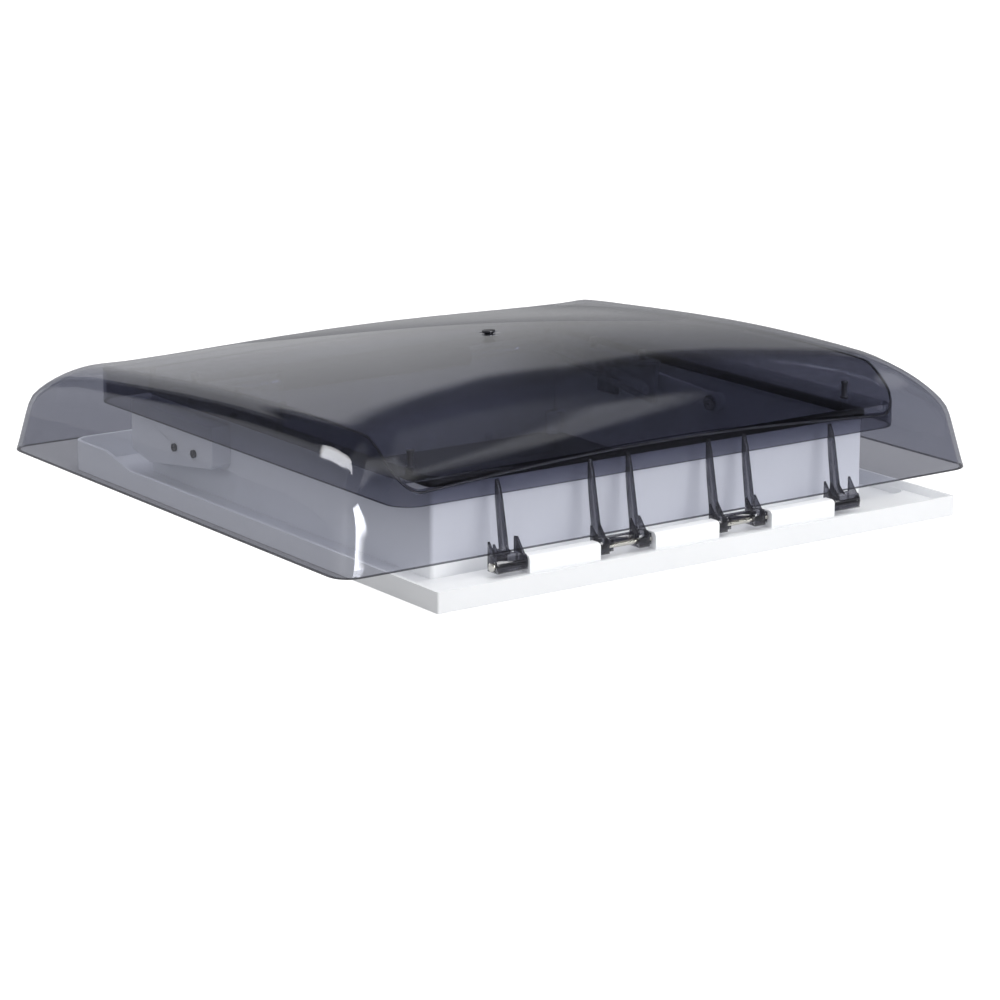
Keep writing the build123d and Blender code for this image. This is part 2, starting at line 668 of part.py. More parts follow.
def crossbar_grip():
    grip = bar_cyl(-GRIP_X, GRIP_X, 7.6)
    grip = fillet(grip.edges().filter_by(GeomType.CIRCLE), 1.6)
    grip -= bar_cyl(-100, 100, BAR_R + 0.02)
    # ring grooves
    for k in range(-8, 9):
        x = k * 9.5
        grip -= bar_cyl(x - 1.2, x + 1.2, 9) - bar_cyl(x - 2, x + 2, 6.9)
    return one(grip)


for side, name in SIDES:
    save("bow_arm_" + name, bow_arm(side))
    save("bow_bush_" + name, bow_bush(side))
    save("bow_pivot_pin_" + name, bow_pivot_pin(side))
    save("guide_roller_" + name, guide_roller(side))
save("bow_crossbar", one(bar_cyl(-BAR_X, BAR_X, BAR_R) - bar_cyl(-192, 192, 2.8)))
save("crossbar_end_caps", *[crossbar_end_cap(side) for side, _ in SIDES])
save("crossbar_grip", crossbar_grip())

# ---------------------------------------------------------------- guide rails under the pane
LID_OPEN = 50.0              # lid opening, degrees
SLOT_R = 5.8
RAIL_TOP = PANE_BOTTOM - 0.05


def guide_rail(side):
    # the slot lies on the line from the hinge through the closed bar position
    angle = math.atan2(BAR_Z - HINGE_Z, BAR_Y - HINGE_Y)
    closed = math.hypot(BAR_Z - HINGE_Z, BAR_Y - HINGE_Y)
    pivot_angle = math.atan2(BOW_Z - HINGE_Z, BOW_Y - HINGE_Y)
    opened = 2 * BOW_L * math.cos(math.radians(LID_OPEN) + angle - pivot_angle)

    def at(reach, offset=0.0):
        """(y, z) at a reach from the hinge, moved square to the line."""
        return (HINGE_Y + reach * math.cos(angle) - offset * math.sin(angle),
                HINGE_Z + reach * math.sin(angle) + offset * math.cos(angle))

    x0, x1 = across(side, RAIL_X0, RAIL_X1)
    low0, low1 = at(opened - 11, -9.5), at(closed + 11, -9.5)
    y0, y1 = low0[0] - 6, low1[0] + 1
    rail = yz_plate([low0, low1, (y1, RAIL_TOP), (y0, RAIL_TOP)], x0, x1)
    rail += box(*across(side, 165.0, RAIL_X1), y0, y1, RAIL_TOP - 3.0, RAIL_TOP)
    # stiffening webs midway between the screws
    for screw_y, next_y in zip(RAIL_SCREW_YS, RAIL_SCREW_YS[1:]):
        y = (screw_y + next_y) / 2
        rail += box(*across(side, 166.5, RAIL_X0), y - 1.25, y + 1.25, RAIL_TOP - 9, RAIL_TOP - 2)
    end = closed + 1.0
    slot = cyl_x(x0 - 1, x1 + 1, *at(opened), SLOT_R) + cyl_x(x0 - 1, x1 + 1, *at(end), SLOT_R)
    slot += yz_plate([at(opened, SLOT_R), at(end, SLOT_R),
                      at(end, -SLOT_R), at(opened, -SLOT_R)], x0 - 1, x1 + 1)
    rail -= slot
    for y in RAIL_SCREW_YS:
        rail -= cyl_z(side * RAIL_SCREW_X, y, 60, 80, 2.0)
    return one(rail)


def rail_screw(x, y):
    head_z = 71.6
    screw = cyl_z(x, y, 73.85, 83.6, 1.9) + cyl_z(x, y, head_z, 73.9, 3.3)
    screw -= Pos(x, y, head_z) * extrude(RegularPolygon(1.5, 6), 1.3)
    return one(screw)


def rail_nut(x, y):
    nut = Pos(x, y, PANE_TOP + 0.1) * extrude(RegularPolygon(3.6, 6), 2.9)
    nut += cyl_z(x, y, 82.5, 84.6, 2.9)
    nut -= cyl_z(x, y, 79, 83.7, 1.92)
    return one(nut)


for side, name in SIDES:
    save("guide_rail_" + name, guide_rail(side))
screw_places = [(side * RAIL_SCREW_X, y) for side, _ in SIDES for y in RAIL_SCREW_YS]
save("guide_rail_screws", *[rail_screw(x, y) for x, y in screw_places])
save("guide_rail_nuts", *[rail_nut(x, y) for x, y in screw_places])
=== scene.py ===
"""Roof light: a smoked acrylic dome lid over a white base frame, with a bow and its guide rails.

The scene is in metres with +Z up. The front is -Y and the left is -X. The frame rests on the
roof near z = 0 and its spigot hangs down through a square opening. Dome and bond shapes are
worked out in millimetres in the same axes.
"""
import bpy, bmesh, math
import numpy as np
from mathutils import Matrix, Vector


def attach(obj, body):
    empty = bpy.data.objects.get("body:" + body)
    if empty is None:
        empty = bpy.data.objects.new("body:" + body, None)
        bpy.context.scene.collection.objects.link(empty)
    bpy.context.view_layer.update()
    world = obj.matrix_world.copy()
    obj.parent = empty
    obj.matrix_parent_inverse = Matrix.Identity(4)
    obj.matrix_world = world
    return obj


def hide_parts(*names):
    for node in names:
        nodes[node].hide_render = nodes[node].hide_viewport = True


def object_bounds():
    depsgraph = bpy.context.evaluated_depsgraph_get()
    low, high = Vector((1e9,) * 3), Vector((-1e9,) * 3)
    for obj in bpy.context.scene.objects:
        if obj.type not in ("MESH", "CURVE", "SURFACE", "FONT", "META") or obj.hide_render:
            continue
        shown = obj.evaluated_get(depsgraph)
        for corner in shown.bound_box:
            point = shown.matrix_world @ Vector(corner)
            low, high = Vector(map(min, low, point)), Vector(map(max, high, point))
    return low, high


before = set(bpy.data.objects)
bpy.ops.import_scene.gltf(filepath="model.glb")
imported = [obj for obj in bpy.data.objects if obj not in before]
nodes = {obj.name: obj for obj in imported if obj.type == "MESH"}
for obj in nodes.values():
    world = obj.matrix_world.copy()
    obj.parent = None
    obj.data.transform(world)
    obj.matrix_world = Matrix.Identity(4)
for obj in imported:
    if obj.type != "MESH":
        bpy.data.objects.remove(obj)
CAD_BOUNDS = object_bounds()
MM = 0.001

# ------------------------------------------------------------------ dome dimensions (mm)
HALF_WIDTH = 291.0        # at the rim
FRONT_Y, BACK_Y = -225.5, 266.0
RIM_Z = 22.0
SIDE_DRAFT = math.radians(11.45)
CROWN_Z = 126.4
CROWN_CURVE_Y = -77.2     # where the crown's front-to-back curve peaks
SPAN_X, SPAN_Y = 250.0, 220.0   # lengths that scale the crown's polynomial
DROP_X2, DROP_Y2 = 24.8, 19.8
DROP_X4, DROP_Y4 = -6.68, -1.76
LIFT_X2Y2 = 8.25
SHOULDER_SIDE, SHOULDER_FRONT, SHOULDER_BACK = 36.4, 55.0, 44.0   # shoulder radii
SHOULDER_POWER = 1.72     # 2 would be a round shoulder
PLAN_RADIUS, PLAN_POWER = 65.7, 14.0   # near-square corner of the outline
CORNER_RADIUS = 20.0      # round that trims the corner
CORNER_BLEND = 3.0

SHEET = 3.0               # acrylic thickness
CENTRE_Y = 15.0           # the dome mesh fans out from here
PLUG_HOLE_RADIUS = 3.6
RIM_ROUND = 0.9           # height of the rounded rim edge
RIM_STEPS = 6
ROWS = 60                 # vertex rows on each skin, from rim to plug hole

# bond line, along the top of the inner pane's wall
BOND_HALF_WIDTH = 229.2
BOND_FRONT_Y, BOND_BACK_Y = -206.7, 229.7
BOND_CORNER, BOND_CORNER_STEPS = 18.5, 24
BOND_SPACING = 5
BOND_DEPTH = SHEET + 0.75   # centre of the bead below the dome's outer face
BEAD_HALF_WIDTH, BEAD_HALF_HEIGHT = 1.0, 0.62
BEAD_SIDES = 10


# ------------------------------------------------------------------ dome surface
def dome_field(x, y, z):
    """Roughly the signed distance from the dome's outer face in mm, negative inside."""
    u, v = x / SPAN_X, (y - CROWN_CURVE_Y) / SPAN_Y
    crown_z = (CROWN_Z - DROP_X2 * u ** 2 - DROP_Y2 * v ** 2 - DROP_X4 * u ** 4
               - DROP_Y4 * v ** 4 + LIFT_X2Y2 * u ** 2 * v ** 2)
    above_crown = z - crown_z

    # room left before each drafted wall
    taper, slant = math.tan(SIDE_DRAFT), math.cos(SIDE_DRAFT)
    height = z - RIM_Z
    room_x = HALF_WIDTH - np.abs(x) - height * taper
    room_front = y - FRONT_Y - height * taper
    room_back = BACK_Y - y - height * taper
    room_y = np.minimum(room_front, room_back)

    near_x = np.clip(PLAN_RADIUS - room_x, 0, None)
    near_y = np.clip(PLAN_RADIUS - room_y, 0, None)
    outline = (near_x ** PLAN_POWER + near_y ** PLAN_POWER) ** (1 / PLAN_POWER)
    wall = (outline - PLAN_RADIUS) * slant

    # shoulder radius, mixed by which wall is closer
    weight_x, weight_y = near_x ** 2 + 1e-6, near_y ** 2 + 1e-6
    end_radius = np.where(room_front < room_back, SHOULDER_FRONT, SHOULDER_BACK)
    radius = (weight_x * SHOULDER_SIDE + weight_y * end_radius) / (weight_x + weight_y)
    up = np.clip(above_crown + radius, 0, None)
    out = np.clip(wall + radius, 0, None)
    shoulder = (up ** SHOULDER_POWER + out ** SHOULDER_POWER) ** (1 / SHOULDER_POWER) - radius
    body = np.where((up > 0) | (out > 0), shoulder, np.maximum(above_crown, wall))

    near_x = np.clip(CORNER_RADIUS - room_x, 0, None)
    near_y = np.clip(CORNER_RADIUS - room_y, 0, None)
    corner = (np.hypot(near_x, near_y) - CORNER_RADIUS) * slant
    overlap = np.clip(CORNER_BLEND - np.abs(body - corner), 0, None) / CORNER_BLEND
    return np.maximum(body, corner) + overlap * overlap * CORNER_BLEND * 0.25


def field_normal(points, step=0.4):
    """Unit gradient of the dome field at an array of points."""
    slopes = []
    for axis in range(3):
        ahead, behind = points.copy(), points.copy()
        ahead[:, axis] += step
        behind[:, axis] -= step
        slopes.append((dome_field(*ahead.T) - dome_field(*behind.T)) / (2 * step))
    gradient = np.stack(slopes, -1)
    return gradient / np.maximum(np.linalg.norm(gradient, axis=-1, keepdims=True), 1e-9)


def find_surface(field, low, high):
    """Bisect between arrays low (inside) and high (outside) for the zero of field."""
    for _ in range(40):
        middle = (low + high) / 2
        inside = field(middle) < 0
        low = np.where(inside, middle, low)
        high = np.where(inside, high, middle)
    return (low + high) / 2


# ------------------------------------------------------------------ meshes
def link_object(name, data):
    ob = bpy.data.objects.new(name, data)
    bpy.context.scene.collection.objects.link(ob)
    return ob


def band_faces(layers, count, closed=True):
    """Quads between loops of count vertices. If closed, the last loop joins the first."""
    return [(j * count + i, j * count + (i + 1) % count,
             (j + 1) % layers * count + (i + 1) % count, (j + 1) % layers * count + i)
            for j in range(layers if closed else layers - 1) for i in range(count)]


def flipped(quads):
    return [(a, d, c, b) for a, b, c, d in quads]


def smooth_object(name, verts_mm, faces):
    mesh = bpy.data.meshes.new(name)
    mesh.from_pydata([tuple(float(c) * MM for c in vert) for vert in verts_mm], [], faces)
    mesh.validate()
    mesh.update()
    mesh.shade_smooth()
    ob = link_object(name, mesh)
    bm = bmesh.new()
    bm.from_mesh(mesh)
    bmesh.ops.recalc_face_normals(bm, faces=bm.faces)
    bm.to_mesh(mesh)
    bm.free()
    return ob


def corner_arc(centre, radius, start, steps):
    """Quarter turn from the start angle in degrees, both ends included."""
    angles = [math.radians(start + 90 * i / steps) for i in range(steps + 1)]
    return [(centre[0] + radius * math.cos(t), centre[1] + radius * math.sin(t)) for t in angles]


def rim_path(corner=34.0, steps_x=64, steps_y=56, corner_steps=20):
    """Closed loop round the rim, relative to the mesh centre, dense in the corners."""
    x, y0, y1 = HALF_WIDTH, FRONT_Y - CENTRE_Y, BACK_Y - CENTRE_Y
    in_x, in_y0, in_y1 = x - corner, y0 + corner, y1 - corner
    # line start, line end, line steps, then the centre and start angle of the arc after it
    sides = (
        ((-in_x, y0), (in_x, y0), steps_x, (in_x, in_y0), -90),
        ((x, in_y0), (x, in_y1), steps_y, (in_x, in_y1), 0),
        ((in_x, y1), (-in_x, y1), steps_x, (-in_x, in_y1), 90),
        ((-x, in_y1), (-x, in_y0), steps_y, (-in_x, in_y0), 180),
    )
    points = []
    for (px, py), (qx, qy), steps, centre, angle in sides:
        points += [(px + (qx - px) * i / steps if False else px + (qx - px) * (i / steps),
                    py + (qy - py) * (i / steps)) for i in range(steps)]
        points += corner_arc(centre, corner, angle, corner_steps)[:-1]
    return np.array(points)


def dome_skin(dir_x, dir_y, depth):
    """Grid of points on the face lying depth below the outer face: direction, row, xyz."""
    samples, bend = 420, 1.15   # samples each side of this elevation (radians)
    rise = np.concatenate([np.linspace(0, bend, samples),
                           np.linspace(bend, math.pi / 2 - 0.03, samples)[1:]])
    cos_rise, sin_rise = np.cos(rise), np.sin(rise)
    ray_x, ray_y = dir_x[:, None] * cos_rise, dir_y[:, None] * cos_rise
    reach = find_surface(
        lambda r: dome_field(ray_x * r, CENTRE_Y + ray_y * r, RIM_Z + sin_rise * r) + depth,
        np.zeros_like(ray_x), np.full_like(ray_x, 700.0))
    out, z = reach * cos_rise, RIM_Z + sin_rise * reach
    grid = []
    for i in range(len(dir_x)):
        steps = np.hypot(np.diff(out[i]), np.diff(z[i]))
        length = np.concatenate([[0], np.cumsum(steps)])
        # close rows on the shoulder, wide rows on the crown
        shoulder_end = min(length[int(samples * 0.36)] + 60, length[-1] * 0.7)
        at = np.interp(np.linspace(0, 1, ROWS), [0, 0.62, 1.0], [0, shoulder_end, length[-1]])
        row_out = np.interp(at, length, out[i])
        grid.append(np.stack([dir_x[i] * row_out, CENTRE_Y + dir_y[i] * row_out,
                              np.interp(at, length, z[i])], -1))
    grid = np.array(grid)
    grid[:, -1, 0] = dir_x * PLUG_HOLE_RADIUS
    grid[:, -1, 1] = CENTRE_Y + dir_y * PLUG_HOLE_RADIUS
    return grid


def build_dome():
    """Double-skinned shell with a rounded rim and a hole for the plug."""
    path = rim_path()
    distance = np.hypot(path[:, 0], path[:, 1])
    dir_x, dir_y = path[:, 0] / distance, path[:, 1] / distance
    outer, inner = (dome_skin(dir_x, dir_y, depth) for depth in (0.0, SHEET))
    # lift the rim row of each skin and add an arc between them
    outer_rim, inner_rim = outer[:, 0].copy(), inner[:, 0].copy()
    outer[:, 0, 2] += RIM_ROUND
    inner[:, 0, 2] += RIM_ROUND
    rim = []
    for k in range(1, RIM_STEPS):
        t = k / RIM_STEPS
        loop = outer_rim * (1 - t) + inner_rim * t
        loop[:, 2] = RIM_Z + RIM_ROUND * (1 - math.sin(math.pi * t) ** 0.6)
        rim.append(loop)
    layers = [outer[:, j] for j in reversed(range(ROWS))] + rim
    layers += [inner[:, j] for j in range(ROWS)]
    faces = flipped(band_faces(len(layers), len(path)))   # the closing band walls the plug hole
    return smooth_object("dome_shell", np.concatenate(layers), faces), len(path)


def bond_path():
    """Rounded rectangle with long gaps filled in."""
    x, y0 = BOND_HALF_WIDTH - BOND_CORNER, BOND_FRONT_Y + BOND_CORNER
    y1 = BOND_BACK_Y - BOND_CORNER
    points = []
    for centre, angle in (((x, y0), -90), ((x, y1), 0), ((-x, y1), 90), ((-x, y0), 180)):
        points += corner_arc(centre, BOND_CORNER, angle, BOND_CORNER_STEPS)
    dense = []
    for (px, py), (qx, qy) in zip(points, points[1:] + points[:1]):
        pieces = max(1, int(math.hypot(qx - px, qy - py) / BOND_SPACING))
        for j in range(pieces):
            t = j / pieces
            dense.append((px * (1 - t) + qx * t, py * (1 - t) + qy * t))
    return np.array(dense)


def build_bond():
    """Thin oval bead on the dome's inner face, where the pane's rim wall meets it."""
    x, y = bond_path().T
    z = find_surface(lambda z: dome_field(x, y, z) + BOND_DEPTH,
                     np.full_like(x, 40.0), np.full_like(x, 140.0))
    centres = np.stack([x, y, z], -1)
    normal = field_normal(centres)
    tangent = np.roll(centres, -1, 0) - np.roll(centres, 1, 0)
    tangent /= np.linalg.norm(tangent, axis=1, keepdims=True)
    normal -= tangent * np.sum(normal * tangent, 1, keepdims=True)
    normal /= np.linalg.norm(normal, axis=1, keepdims=True)
    side = np.cross(tangent, normal)
    loops = []
    for k in range(BEAD_SIDES):
        t = 2 * math.pi * k / BEAD_SIDES
        loops.append(centres + side * (BEAD_HALF_WIDTH * math.cos(t))
                     + normal * (BEAD_HALF_HEIGHT * math.sin(t)))
    return smooth_object("bond_line", np.concatenate(loops), band_faces(BEAD_SIDES, len(x)))


dome, dome_loop = build_dome()
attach(dome, "lid")
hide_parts("outer_dome")

bond = build_bond()
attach(bond, "lid")


# ------------------------------------------------------------------ shader building
class Graph:
    """Small helper for building node trees."""

    def __init__(self, owner):
        owner.use_nodes = True
        self.tree = owner.node_tree
        self.tree.nodes.clear()

    def node(self, kind, **settings):
        node = self.tree.nodes.new(kind)
        for key, value in settings.items():
            setattr(node, key, value)
        return node

    def put(self, socket, value):
        """Link an output socket, or set a plain value."""
        if isinstance(value, bpy.types.NodeSocket):
            self.tree.links.new(value, socket)
        else:
            socket.default_value = value

    def math(self, operation, *values, clamp=False):
        node = self.node("ShaderNodeMath", operation=operation, use_clamp=clamp)
        for socket, value in zip(node.inputs, values):
            self.put(socket, value)
        return node.outputs[0]

    def around(self, noise, centre, swing):
        """Noise of 0 to 1 turned into a value that varies about centre."""
        return self.math("MULTIPLY_ADD", noise, swing, centre - swing / 2)

    def noise(self, scale, detail=3.0, rough=0.5, vector=None):
        node = self.node("ShaderNodeTexNoise")
        node.inputs["Scale"].default_value = scale
        node.inputs["Detail"].default_value = detail
        node.inputs["Roughness"].default_value = rough
        if vector is None:
            vector = self.node("ShaderNodeTexCoord").outputs["Object"]
        self.put(node.inputs["Vector"], vector)
        return node.outputs[0]

    def ramp(self, factor, stops):
        """Stops are (position, colour or grey)."""
        node = self.node("ShaderNodeValToRGB")
        elements = node.color_ramp.elements
        elements.remove(elements[-1])
        for i, (position, colour) in enumerate(stops):
            element = elements.new(position) if i else elements[0]
            element.position = position
            element.color = (*(colour if isinstance(colour, tuple) else (colour,) * 3), 1.0)
        self.put(node.inputs[0], factor)
        return node.outputs[0]

    def bump(self, height, strength, distance):
        node = self.node("ShaderNodeBump")
        node.inputs["Strength"].default_value = strength
        node.inputs["Distance"].default_value = distance
        self.put(node.inputs["Height"], height)
        return node.outputs[0]

    def mix_shader(self, factor, first, second):
        node = self.node("ShaderNodeMixShader")
        for socket, value in zip(node.inputs, (factor, first, second)):
            self.put(socket, value)
        return node.outputs[0]


def new_material(name):
    mat = bpy.data.materials.new(name)
    graph = Graph(mat)
    return mat, graph, graph.node("ShaderNodeOutputMaterial").inputs[0]


# ------------------------------------------------------------------ material kinds
def plastic(name, colour, rough=0.38, grain=900.0, grain_depth=0.00004, vary=0.03, spec=0.5):
    """Moulded plastic or rubber: fine grain, slow colour drift, uneven roughness."""
    mat, graph, surface = new_material(name)
    shader = graph.node("ShaderNodeBsdfPrincipled")
    drift = graph.noise(scale=14.0, detail=4.0, rough=0.6)
    dark, light = (tuple(c * gain for c in colour) for gain in (1 - vary, 1 + vary))
    graph.put(shader.inputs["Base Color"], graph.ramp(drift, [(0.3, dark), (0.7, light)]))
    fine = graph.noise(scale=grain, detail=2.0)
    patches = graph.noise(scale=60.0, detail=4.0, rough=0.6)
    graph.put(shader.inputs["Roughness"], graph.around(patches, centre=rough, swing=0.14))
    shader.inputs["Specular IOR Level"].default_value = spec
    graph.put(shader.inputs["Normal"], graph.bump(fine, strength=0.35, distance=grain_depth))
    graph.put(surface, shader.outputs[0])
    return mat


def brushed(name, colour, rough, axis):
    """Metal with streaks along one object axis (0, 1, 2 for X, Y, Z)."""
    mat, graph, surface = new_material(name)
    shader = graph.node("ShaderNodeBsdfPrincipled")
    coords = graph.node("ShaderNodeTexCoord")
    mapping = graph.node("ShaderNodeMapping")
    stretch = [400.0] * 3
    stretch[axis] = 6.0
    mapping.inputs["Scale"].default_value = stretch
    graph.put(mapping.inputs["Vector"], coords.outputs["Object"])
    streak = graph.noise(scale=6.0, rough=0.6, vector=mapping.outputs[0])
    dark = tuple(c * 0.85 for c in colour)
    graph.put(shader.inputs["Base Color"], graph.ramp(streak, [(0.25, dark), (0.75, colour)]))
    graph.put(shader.inputs["Roughness"], graph.around(streak, centre=rough, swing=0.2))
    shader.inputs["Metallic"].default_value = 1.0
    graph.put(shader.inputs["Normal"], graph.bump(streak, strength=0.25, distance=0.00003))
    graph.put(surface, shader.outputs[0])
    return mat


INDEX_SQUARED = 2.22   # refractive index 1.49
HEAD_ON = 0.039        # mirror share when looked at square on


def acrylic(name, tint, rough, body=None, wave=0.00002, haze=0.0, refl=1.0, soft=0.30,
            edge_on=0.0):
    """Smoked acrylic sheet. Each face carries half the tint, deeper at grazing angles as the
    path through the sheet grows, plus a Fresnel reflection.

    soft scales the tint for rays other than camera and glossy ones, haze mixes in the body
    colour, and edge_on deepens faces turned to the front or back."""
    mat, graph, surface = new_material(name)
    math_node = graph.math
    geometry = graph.node("ShaderNodeNewGeometry")
    path = graph.node("ShaderNodeLightPath")
    wavy = graph.noise(scale=22.0, detail=2.0)
    fine = graph.noise(scale=420.0, detail=2.0)
    height = math_node("ADD", math_node("MULTIPLY", wavy, 1.0), math_node("MULTIPLY", fine, 0.01))
    normal = graph.bump(height, strength=0.5, distance=wave)
    dot = graph.node("ShaderNodeVectorMath", operation="DOT_PRODUCT")
    graph.put(dot.inputs[0], normal)
    graph.put(dot.inputs[1], geometry.outputs["Incoming"])
    facing = math_node("MINIMUM", math_node("ABSOLUTE", dot.outputs["Value"]), 1.0)

    # half the sheet, divided by the cosine of the refracted ray
    sin_squared = math_node("SUBTRACT", 1.0, math_node("MULTIPLY", facing, facing))
    refracted = math_node("DIVIDE", sin_squared, INDEX_SQUARED)
    depth = math_node("DIVIDE", 0.5, math_node("SQRT", math_node("SUBTRACT", 1.0, refracted)))
    seen = math_node("MAXIMUM", path.outputs["Is Camera Ray"], path.outputs["Is Glossy Ray"])
    depth = math_node("MULTIPLY", depth, math_node("MULTIPLY_ADD", seen, 1.0 - soft, soft))
    if edge_on:
        # thin ribs are deep behind their narrow faces
        split = graph.node("ShaderNodeSeparateXYZ")
        graph.put(split.inputs[0], geometry.outputs["True Normal"])
        rib = math_node("POWER", math_node("ABSOLUTE", split.outputs[1]), 4.0)
        depth = math_node("MULTIPLY", depth, math_node("MULTIPLY_ADD", rib, edge_on, 1.0))
    # slow streaks in the tint
    drift = graph.noise(scale=5.0, rough=0.55)
    depth = math_node("MULTIPLY", depth, graph.around(drift, centre=1.0, swing=0.16))
    colour = graph.node("ShaderNodeCombineColor")
    for socket, channel in zip(colour.inputs, tint):
        graph.put(socket, math_node("POWER", channel, depth))
    clear = graph.node("ShaderNodeBsdfTransparent")
    graph.put(clear.inputs["Color"], colour.outputs[0])

    mirror = graph.node("ShaderNodeBsdfGlossy")
    mirror.inputs["Color"].default_value = (1, 1, 1, 1)
    smudges = graph.noise(scale=35.0, detail=4.0, rough=0.6)
    graph.put(mirror.inputs["Roughness"], math_node("MULTIPLY_ADD", smudges, 0.02, rough))
    graph.put(mirror.inputs["Normal"], normal)
    grazing = math_node("POWER", math_node("SUBTRACT", 1.0, facing), 5.0)
    fresnel = math_node("MULTIPLY_ADD", grazing, (1 - HEAD_ON) * refl, HEAD_ON * refl)
    # only camera and glossy rays get the mirror part, other light passes at full strength
    fresnel = math_node("MULTIPLY", fresnel, seen)
    final = graph.mix_shader(fresnel, clear.outputs[0], mirror.outputs[0])
    if haze:
        diffuse = graph.node("ShaderNodeBsdfDiffuse")
        diffuse.inputs["Color"].default_value = (*body, 1)
        final = graph.mix_shader(math_node("MULTIPLY", haze, seen), final, diffuse.outputs[0])
    graph.put(surface, final)
    return mat


MATERIALS = {
    "white": plastic("white_plastic", (0.86, 0.87, 0.885), rough=0.36, grain=1500.0,
                     grain_depth=0.00003, vary=0.012),
    "cover": plastic("white_cover", (0.78, 0.79, 0.81), rough=0.45, grain=1100.0,
                     grain_depth=0.00005, vary=0.02),
    "dome": acrylic("smoked_acrylic", (0.655, 0.665, 0.73), rough=0.008, soft=0.12,
                    wave=0.000006),
    "pane": acrylic("inner_acrylic", (0.42, 0.425, 0.485), rough=0.02, refl=0.4, soft=1.2,
                    wave=0.00001),
    "edge": acrylic("cut_edge", (0.16, 0.16, 0.18), rough=0.25, haze=0.35,
                    body=(0.03, 0.03, 0.035)),
    "smoked": acrylic("smoked_moulding", (0.40, 0.40, 0.44), rough=0.17, haze=0.24,
                      body=(0.05, 0.05, 0.06), refl=1.1, wave=0.00004, soft=0.6, edge_on=2.0),
    "dark": plastic("dark_plastic", (0.035, 0.035, 0.042), rough=0.34, grain=1300.0, vary=0.15),
    "bond": plastic("bond_black", (0.02, 0.02, 0.024), rough=0.5, grain=700.0, vary=0.2),
    "grey": plastic("grey_plastic", (0.40, 0.41, 0.43), rough=0.4, vary=0.04),
    "arm": plastic("arm_plastic", (0.68, 0.69, 0.71), rough=0.4, vary=0.02),
    "catch": plastic("catch_plastic", (0.28, 0.29, 0.31), rough=0.42, vary=0.05),
    "bar": brushed("bar_aluminium", (0.72, 0.73, 0.75), rough=0.3, axis=0),
    "grip": plastic("grip_rubber", (0.022, 0.022, 0.024), rough=0.75, grain=800.0,
                    grain_depth=0.00008, vary=0.2, spec=0.3),
    "rubber": plastic("black_rubber", (0.014, 0.014, 0.016), rough=0.7, grain=700.0,
                      grain_depth=0.00008, vary=0.2, spec=0.3),
    "seal": plastic("grey_seal", (0.14, 0.14, 0.145), rough=0.85, grain=350.0,
                    grain_depth=0.0002, vary=0.12, spec=0.2),
    "steel": brushed("hinge_steel", (0.74, 0.72, 0.67), rough=0.22, axis=0),
    "screw": brushed("screw_steel", (0.12, 0.12, 0.13), rough=0.35, axis=1),
    "spring": brushed("spring_steel", (0.5, 0.5, 0.52), rough=0.3, axis=2),
}
# CAD pieces, with _left and _right left off
PIECE_MATERIAL = {
    "base_frame": "white", "side_housing": "cover", "upstand_gasket": "rubber",
    "roof_seal": "seal", "outer_dome": "dome", "inner_pane": "pane", "dome_plug": "dark",
    "pane_studs": "dark", "hinge_rod": "steel", "hinge_rod_clip": "steel",
    "hinge_bracket_outer": "smoked", "hinge_bracket_inner": "smoked",
    "housing_screws": "screw", "guide_rail": "grey", "guide_rail_screws": "screw",
    "guide_rail_nuts": "dark", "guide_roller": "grey", "bow_arm": "arm", "bow_bush": "grey",
    "bow_pivot_pin": "steel", "bow_crossbar": "bar", "crossbar_end_caps": "dark",
    "crossbar_grip": "grip", "catch": "catch", "catch_spring": "spring",
}
EDGE_ROUND = {"base_frame": 0.0009, "bow_arm": 0.0005, "guide_rail": 0.0004,
              "catch": 0.0003, "side_housing": 0.0003}


def finish_cad(ob, mat, edge_round):
    """Give a CAD piece its material, clean shading and, where set, rounded edges."""
    mesh = ob.data
    mesh.materials.clear()
    mesh.materials.append(mat)
    for face in mesh.polygons:
        face.material_index = 0
    mesh.shade_smooth()
    weld = ob.modifiers.new("weld", "WELD")
    weld.merge_threshold = 0.000005
    if edge_round:
        bevel = ob.modifiers.new("edge_round", "BEVEL")
        bevel.width = edge_round
        bevel.segments = 2
        bevel.limit_method = "ANGLE"
        bevel.angle_limit = math.radians(40)
        bevel.use_clamp_overlap = True
    shading = ob.modifiers.new("smooth_by_angle", "WEIGHTED_NORMAL")
    shading.keep_sharp = True
    shading.weight = 60
    if not edge_round:
        mesh.set_sharp_from_angle(angle=math.radians(34))


for name, ob in nodes.items():
    piece = name.removesuffix("_left").removesuffix("_right")
    finish_cad(ob, MATERIALS[PIECE_MATERIAL[piece]], EDGE_ROUND.get(piece))

# the dome's rim and the foot of the pane's wall read darker than the sheets
dome.data.materials.append(MATERIALS["dome"])
dome.data.materials.append(MATERIALS["edge"])
for face in dome.data.polygons:
    if ROWS - 1 <= face.index // dome_loop < ROWS - 1 + RIM_STEPS:
        face.material_index = 1
PANE_FOOT_Z = 0.0612
pane = nodes["inner_pane"].data
pane.materials.append(MATERIALS["edge"])
for face in pane.polygons:
    if face.normal.z < -0.9 and face.center.z < PANE_FOOT_Z:
        face.material_index = 1
bond.data.materials.append(MATERIALS["bond"])

# ------------------------------------------------------------------ floor
FLOOR_Z = -0.0003
PIT_Z = CAD_BOUNDS[0][2] - 0.02
HOLE = 0.1989   # half the opening's width


